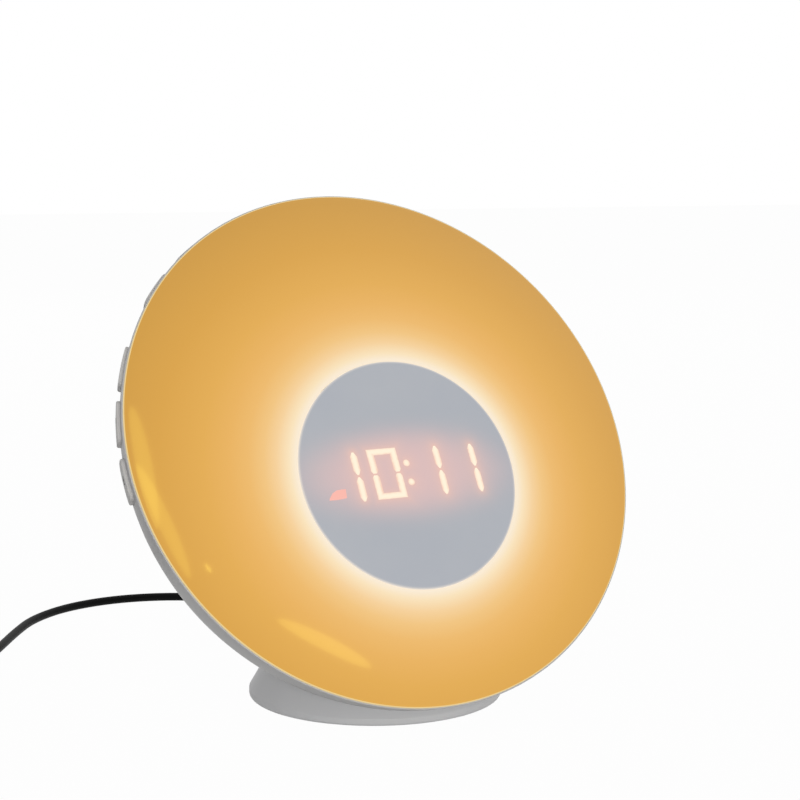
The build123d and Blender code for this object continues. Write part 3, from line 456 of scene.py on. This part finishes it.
# Name, colour, darker drift, lowest and highest roughness, then the grain's size, its bump's depth and
# the drift's size in millimetres, and the shader's own values
GRAINED = [
    ("shell_plastic", (182, 181, 181), (174, 173, 173), (0.38, 0.52), (0.45, 0.35, 40.0), {}),
    # Painted light: the foot is the shell's white plastic, coloured lighter so it reads bright in the shade
    # under the head
    ("foot_plastic_painted_lighter", (212, 212, 213), (204, 204, 205), (0.38, 0.52), (0.45, 0.35, 40.0), {}),
    ("button_plastic", (194, 192, 190), (187, 185, 183), (0.42, 0.55), (0.4, 0.4, 12.0), {}),
    ("button_print", (60, 59, 59), (50, 49, 49), (0.6, 0.7), (0.3, 0.2, 5.0), {"Specular_IOR_Level": 0.2}),
    ("white_plastic", (244, 243, 240), (236, 235, 232), (0.3, 0.4), (0.5, 0.2, 30.0), {}),
    ("lamp_chip", (252, 226, 120), (246, 214, 96), (0.25, 0.35), (0.3, 0.1, 3.0), {}),
    ("circuit_board", (24, 104, 62), (16, 84, 48), (0.25, 0.4), (1.6, 0.5, 6.0), {}),
    ("black_plastic", (34, 34, 35), (26, 26, 27), (0.4, 0.55), (0.4, 0.35, 12.0), {}),
    ("speaker_paper", (50, 49, 47), (38, 37, 36), (0.8, 0.95), (0.5, 0.8, 5.0), {}),
    ("steel", (200, 200, 203), (184, 184, 188), (0.22, 0.34), (0.6, 0.12, 6.0), {"Metallic": 1.0}),
    ("copper", (206, 138, 96), (184, 116, 76), (0.25, 0.4), (0.6, 0.2, 8.0), {"Metallic": 1.0}),
    ("rubber", (48, 48, 48), (38, 38, 38), (0.75, 0.9), (0.5, 0.6, 15.0), {}),
    ("cord_jacket", (10, 10, 10), (7, 7, 7), (0.4, 0.55), (0.6, 0.35, 20.0), {"Specular_IOR_Level": 0.08}),
]
for row in GRAINED:
    FINISHES[row[0]] = grained_finish(*row)


# ---------------------------------------------------------------- making pieces
def set_down(name, mesh, finish, body="root", stands_for=()):
    """Turns a mesh into a piece of the clock, with its finish, its body and what it replaces."""
    piece = add_object(name, mesh)
    mesh.materials.clear()
    mesh.materials.append(FINISHES[finish])
    if stands_for:
        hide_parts(*stands_for)
    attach(piece, body)
    return piece


def smooth_mesh(bm, name, sharp_angle):
    """Writes a bmesh to a mesh, smooth except at edges that turn more than an angle."""
    for face in bm.faces:
        face.smooth = True
    for edge in bm.edges:
        edge.smooth = edge.calc_face_angle(0.0) < radians(sharp_angle)
    mesh = bpy.data.meshes.new(name)
    bm.to_mesh(mesh)
    bm.free()
    return mesh


def onto_head(bm, name):
    """Moves a made shape from the head's own frame to its place and writes it to a mesh."""
    bmesh.ops.transform(bm, verts=bm.verts, matrix=HEAD_MM)
    bmesh.ops.recalc_face_normals(bm, faces=bm.faces)
    return smooth_mesh(bm, name, SHARP_MADE)


def smooth_copy(node, finish, body="root"):
    """A CAD node's shape with its doubles merged and shaded smooth between its sharp edges."""
    bm = bmesh.new()
    bm.from_mesh(nodes[node].data)
    bmesh.ops.remove_doubles(bm, verts=bm.verts, dist=0.002 * MM)
    mesh = smooth_mesh(bm, node + "_finished", SHARP_FRAME)
    piece = set_down(node + "_finished", mesh, finish, body, (node,))
    weighted = piece.modifiers.new("even_shading", "WEIGHTED_NORMAL")
    weighted.keep_sharp = True
    return piece


def parts_of(made, kind):
    """The vertices or the edges among what an operator made."""
    return [part for part in made["geom"] if isinstance(part, kind)]


def lay_on_dome(verts, inset):
    """Drops vertices onto the dome's outside, moved inwards by inset."""
    for vert in verts:
        right, up, _ = vert.co
        vert.co.z = DOME_RISE - DOME_BALL + sqrt((DOME_BALL - inset) ** 2 - right**2 - up**2)


def grow_ring(bm, ring, middle, radius, height=None, inset=0.0):
    """Extrudes a ring of edges to a new middle and radius, at a height or, with none, on the dome."""
    edges, old_middle, old_radius = ring
    made = bmesh.ops.extrude_edge_only(bm, edges=edges)
    verts = parts_of(made, bmesh.types.BMVert)
    bmesh.ops.translate(bm, verts=verts, vec=(-old_middle[0], -old_middle[1], 0))
    bmesh.ops.scale(bm, verts=verts, vec=(radius / old_radius, radius / old_radius, 1))
    bmesh.ops.translate(bm, verts=verts, vec=(middle[0], middle[1], 0))
    if height is None:
        lay_on_dome(verts, inset)
    else:
        for vert in verts:
            vert.co.z = height
    return parts_of(made, bmesh.types.BMEdge), middle, radius


def between(first, second, share):
    """A value part of the way from one to another."""
    return first + (second - first) * share


# ---------------------------------------------------------------- dome and window
def build_dome():
    """The lit dome: its outside grown ring by ring from the window's hole, its edge, skirt and inside."""
    gap, soft, drop = 0.06, 0.2, 0.25
    outer_rings, inner_rings = 40, 12
    hole = WINDOW_RADIUS + gap
    bm = bmesh.new()
    first = bmesh.ops.create_circle(bm, segments=224, radius=hole)["verts"]
    bmesh.ops.translate(bm, verts=first, vec=(*WINDOW_MIDDLE, 0))
    lay_on_dome(first, drop)
    start = list(bm.edges)
    ring = grow_ring(bm, (start, WINDOW_MIDDLE, hole), WINDOW_MIDDLE, hole + soft)
    for step in range(1, outer_rings + 1):
        share = step / outer_rings
        middle = (0.0, between(WINDOW_MIDDLE[1], 0.0, share))
        ring = grow_ring(bm, ring, middle, between(hole + soft, DOME_RADIUS - EDGE_ROUND, share))
    for radius, height in DOME_SKIRT:
        ring = grow_ring(bm, ring, (0.0, 0.0), radius, height)
    for step in range(inner_rings + 1):
        share = step / inner_rings
        middle = (0.0, between(0.0, WINDOW_MIDDLE[1], share))
        ring = grow_ring(bm, ring, middle, between(DOME_SKIRT[-1][0], hole, share), None, DOME_WALL)
    bmesh.ops.bridge_loops(bm, edges=start + ring[0])
    mesh = onto_head(bm, "lit_dome")
    set_down("lit_dome", mesh, "opal_dome", "root", ("front_diffuser",))


def build_window():
    """The display window: a disc that follows the dome, with a softened edge."""
    centre, front_rings, back_rings = 1.5, 18, 4
    bm = bmesh.new()
    bmesh.ops.create_circle(bm, segments=160, radius=centre, cap_ends=True)
    bmesh.ops.translate(bm, verts=bm.verts, vec=(*WINDOW_MIDDLE, 0))
    lay_on_dome(bm.verts, 0.0)
    rings = [
        (between(centre, WINDOW_RADIUS - EDGE_ROUND, step / front_rings), 0.0)
        for step in range(1, front_rings + 1)
    ]
    rings += [(WINDOW_RADIUS, EDGE_ROUND), (WINDOW_RADIUS, DOME_WALL)]
    rings += [
        (between(WINDOW_RADIUS, centre, step / back_rings), DOME_WALL)
        for step in range(1, back_rings + 1)
    ]
    ring = (list(bm.edges), WINDOW_MIDDLE, centre)
    for radius, inset in rings:
        ring = grow_ring(bm, ring, WINDOW_MIDDLE, radius, None, inset)
    bmesh.ops.edgeloop_fill(bm, edges=ring[0])
    mesh = onto_head(bm, "window_lens")
    set_down("window_lens", mesh, "display_window", "root", ("display_window",))


# ---------------------------------------------------------------- digits and signs
def stroke_bar(bm, pairs):
    """A flat strip through pairs of points, each pair an edge across it."""
    ends = [bm.verts.new((x, y, 0)) for x, y in pairs[0]]
    edge = bm.edges.new(ends)
    for pair in pairs[1:]:
        made = bmesh.ops.extrude_edge_only(bm, edges=[edge])
        edge = parts_of(made, bmesh.types.BMEdge)[0]
        start = ends[0].co.copy()
        ends = sorted(parts_of(made, bmesh.types.BMVert), key=lambda vert: (vert.co - start).length)
        for vert, (x, y) in zip(ends, pair):
            vert.co = (x, y, 0)


def one_strokes(bm, right):
    """The two strokes of a lit one, each drawn out to a point at both ends."""
    tip, half, taper = 0.3, STROKE / 2, 1.5
    for low, high in ((-8.5, -0.4), (0.4, 8.0)):
        rows = [(tip, low), (half, low + taper), (half, high - taper), (tip, high)]
        stroke_bar(bm, [
            ((right - out, DIGIT_MIDDLE + up), (right + out, DIGIT_MIDDLE + up)) for out, up in rows
        ])


def nought_strokes(bm, right):
    """The two halves of a lit nought, each a bar with its corners turned down to the middle gap."""
    wide, tall, chamfer = 5.25, 8.8, 0.4
    gap, tip_rise, tip_in = 0.3, 1.1, 0.55
    rows = [
        (-wide + tip_in, gap, -wide + STROKE - tip_in, gap),
        (-wide, tip_rise, -wide + STROKE, tip_rise),
        (-wide, tall - chamfer, -wide + STROKE, tall - STROKE),
        (wide, tall - chamfer, wide - STROKE, tall - STROKE),
        (wide, tip_rise, wide - STROKE, tip_rise),
        (wide - tip_in, gap, wide - STROKE + tip_in, gap),
    ]
    for side in (1, -1):
        stroke_bar(bm, [
            ((right + a, DIGIT_MIDDLE + side * b), (right + c, DIGIT_MIDDLE + side * d))
            for a, b, c, d in rows
        ])


def finish_light(bm, name, finish):
    """Slants and thickens flat lit shapes and sets them into the window's face."""
    proud, sunk, longest = 0.05, 0.25, 4
    for vert in bm.verts:
        vert.co.x += SLANT * (vert.co.y - DIGIT_MIDDLE)
    long_edges = [edge for edge in bm.edges if edge.calc_length() > longest]
    bmesh.ops.subdivide_edges(bm, edges=long_edges, cuts=3, use_grid_fill=True)
    made = bmesh.ops.extrude_face_region(bm, geom=list(bm.faces))
    raised = set(parts_of(made, bmesh.types.BMVert))
    lay_on_dome(raised, -proud)
    lay_on_dome([vert for vert in bm.verts if vert not in raised], sunk)
    set_down(name, onto_head(bm, name), finish)


def build_digits():
    """The lit time, its colon and the small mark beside it."""
    bm = bmesh.new()
    for right in ONES:
        one_strokes(bm, right)
    nought_strokes(bm, NOUGHT)
    for up in (COLON_HALF, -COLON_HALF):
        dot = bmesh.ops.create_circle(bm, segments=20, radius=1.15, cap_ends=True)["verts"]
        bmesh.ops.translate(bm, verts=dot, vec=(COLON[0], DIGIT_MIDDLE + COLON[1] + up, 0))
    finish_light(bm, "lit_digits", "digit_light")
    bm = bmesh.new()
    low = WINDOW_MIDDLE[1]
    stroke_bar(bm, [
        ((-30.8, low - 7.0), (-30.5, low - 6.3)),
        ((-29.4, low - 7.1), (-29.2, low - 4.8)),
        ((-27.8, low - 7.1), (-27.6, low - 4.0)),
        ((-26.2, low - 7.0), (-26.0, low - 3.9)),
        ((-24.8, low - 6.8), (-24.5, low - 3.9)),
    ])
    finish_light(bm, "lit_mark", "mark_light")


def build_sign(button, angle, strips):
    """A small sign printed on the outer face of a side button, at an angle round the head."""
    proud, sunk = 0.03, 0.1
    bm = bmesh.new()
    for strip in strips:
        stroke_bar(bm, strip)
    made = bmesh.ops.extrude_face_region(bm, geom=list(bm.faces))
    raised = set(parts_of(made, bmesh.types.BMVert))
    for vert in bm.verts:
        depth = SIGN_DEPTH - vert.co.y
        skin = SKIN_MIDDLE + sqrt(SKIN_ARC**2 - (SKIN_HEIGHT + depth) ** 2)
        reach = skin + (proud if vert in raised else -sunk)
        turn = radians(angle) + vert.co.x / reach
        vert.co = (reach * cos(turn), reach * sin(turn), -depth)
    name = button + "_print"
    set_down(name, onto_head(bm, name), "button_print", button)


build_dome()
build_window()
build_digits()


# ---------------------------------------------------------------- the frame's own pieces
NODE_FINISH = {
    "shell_plastic": ["rear_housing"],
    "foot_plastic_painted_lighter": ["foot_shell", "foot_plate"],
    "white_plastic": ["light_tray", "display_tube", "digit_block"],
    "circuit_board": ["main_board", "left_key_board", "right_key_board", "display_board", "lamp_board"],
    "black_plastic": [
        "main_board_parts", "display_header", "left_switches", "right_switches", "dc_jack", "usb_tongue",
        "speaker_frame", "cord_plug", "plug_relief", "adapter_relief", "wall_adapter",
    ],
    "speaker_paper": ["speaker_cone"],
    "lamp_chip": ["lamp_leds"],
    "digit_light": ["digit_segments"],
    "steel": [
        "case_screws", "head_screws", "main_board_screws", "key_board_screws", "foot_plate_screws",
        "usb_socket", "speaker_magnet", "coin_cell", "cell_contacts", "plug_barrel", "adapter_prongs",
    ],
    "copper": ["touch_strip"],
    "rubber": ["foot_pad"],
    "cord_jacket": ["cord_tie"],
}
for finish, names in NODE_FINISH.items():
    for node in names:
        smooth_copy(node, finish)
smooth_copy("battery_door", "shell_plastic", "battery_door")
for side in ("left", "right"):
    for place in range(1, 6):
        button = f"{side}_button_{place}"
        smooth_copy(button, "button_plastic", button)


def on_ring(turn, wide, high, middle=0.0):
    """A point on a round or oval ring, at a turn in degrees."""
    return middle + wide * cos(radians(turn)), high * sin(radians(turn))


MOON = [(on_ring(turn, 1.5, 1.5), on_ring(turn, 1.15, 1.2, 0.5)) for turn in range(60, 301, 24)]
HORN = [((-1.5, -0.4), (-1.5, 0.4)), ((-0.8, -0.4), (-0.8, 0.4)), ((0.0, -1.2), (0.0, 1.2))]
SOUND = [(on_ring(turn, 0.9, 0.9), on_ring(turn, 1.3, 1.3)) for turn in range(-50, 51, 20)]
for button, angle, strips in (("left_button_4", 170.7, [MOON]), ("left_button_5", 183.1, [HORN, SOUND])):
    build_sign(button, angle, strips)

power_cord = lay_cord("power_cord", CORD_FROM_THE_PLUG + coil_turns() + CORD_TO_THE_ADAPTER, CORD_DIAMETER)
power_cord.data.materials.append(FINISHES["cord_jacket"])
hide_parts("cord_tube", "cord_coil", "cord_tail")
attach(power_cord, "root")


# ---------------------------------------------------------------- floor, world and lamps
FLOOR_WHITE = 0.98
FLOOR_GREY = 0.45
WORLD_LIGHT = 0.33
CLOCK_MIDDLE = (0, 0, 0.08)


def seen(tree):
    """One where the camera or a reflection looks, and nought where light is gathered."""
    rays = tree.nodes.new("ShaderNodeLightPath").outputs
    mirrored = maths(tree, "MAXIMUM", rays["Is Glossy Ray"], rays["Is Transmission Ray"])
    return maths(tree, "MAXIMUM", rays["Is Camera Ray"], mirrored)


def build_floor():
    """A wide pale floor that keeps a soft shadow."""
    bm = bmesh.new()
    bmesh.ops.create_grid(bm, x_segments=1, y_segments=1, size=6.0)
    mesh = bpy.data.meshes.new("studio_floor")
    bm.to_mesh(mesh)
    bm.free()
    floor = add_object("studio_floor", mesh)
    material, tree, surface = new_finish("studio_floor", Roughness=0.9, Specular_IOR_Level=0.0)
    surface.inputs["Base Color"].default_value = (FLOOR_GREY, FLOOR_GREY, FLOOR_GREY, 1.0)
    white = tree.nodes.new("ShaderNodeEmission")
    blend = tree.nodes.new("ShaderNodeMixShader")
    tree.links.new(maths(tree, "MULTIPLY", seen(tree), FLOOR_WHITE), blend.inputs[0])
    tree.links.new(surface.outputs[0], blend.inputs[1])
    tree.links.new(white.outputs[0], blend.inputs[2])
    tree.links.new(blend.outputs[0], tree.nodes["Material Output"].inputs["Surface"])
    mesh.materials.append(material)


def build_world():
    """Soft grey light from all round, seen as white."""
    world = bpy.data.worlds.new("studio_world")
    bpy.context.scene.world = world
    world.use_nodes = True
    tree = world.node_tree
    sky = tree.nodes["Background"]
    sky.inputs["Color"].default_value = (1.0, 1.0, 1.0, 1.0)
    strength = maths(tree, "MULTIPLY_ADD", seen(tree), 1 - WORLD_LIGHT, WORLD_LIGHT)
    tree.links.new(strength, sky.inputs["Strength"])


def soft_lamp(name, place, target, power, size, shape="RECTANGLE", turn=0.0, tint=(1.0, 1.0, 1.0)):
    """A soft studio lamp of a shape and a size, turned about the line to its target."""
    lamp = bpy.data.lights.new(name, "AREA")
    lamp.shape = shape
    lamp.size, lamp.size_y = size
    lamp.energy = power
    lamp.color = tint
    stand = add_object(name, lamp)
    point_at(stand, place, target)
    turned = stand.rotation_euler.to_matrix() @ Matrix.Rotation(radians(turn), 3, "Z")
    stand.rotation_euler = turned.to_euler()
    return stand


build_floor()
build_world()
# Lamps that light the clock and leave no highlight: name, place, watts and size
for name, place, power, size in (
    ("key_lamp", (-0.9, -1.4, 1.6), 9.0, (0.9, 0.9)),
    ("front_lamp", (-0.55, -1.5, 0.22), 11.5, (0.5, 0.5)),
    ("fill_lamp", (1.3, -1.3, 0.5), 4.5, (1.0, 1.0)),
    ("back_lamp", (0.5, 1.7, 1.0), 11.0, (1.0, 1.0)),
):
    soft_lamp(name, place, CLOCK_MIDDLE, power, size).visible_glossy = False
# Small warm lamps for the highlights on the dome: name, place, target, watts, size and turn
WARM = (1.0, 0.84, 0.12)
for name, place, target, power, size, turn in (
    ("left_strip", (-0.297, -1.396, 1.514), (-0.086, -0.012, 0.083), 0.25, (0.62, 0.074), 93.1),
    ("bent_strip", (-0.268, -1.579, 1.314), (-0.083, -0.019, 0.071), 0.22, (0.6, 0.066), 106.5),
    ("low_strip", (0.386, -1.874, 0.719), (-0.039, -0.043, 0.031), 0.215, (0.5, 0.067), 143.3),
    ("speck_strip", (-0.111, -1.736, 1.11), (-0.072, -0.029, 0.055), 0.012, (0.05, 0.012), 116.4),
):
    soft_lamp(name, place, target, power, size, "ELLIPSE", turn, WARM)
bpy.context.scene.view_settings.view_transform = "Standard"
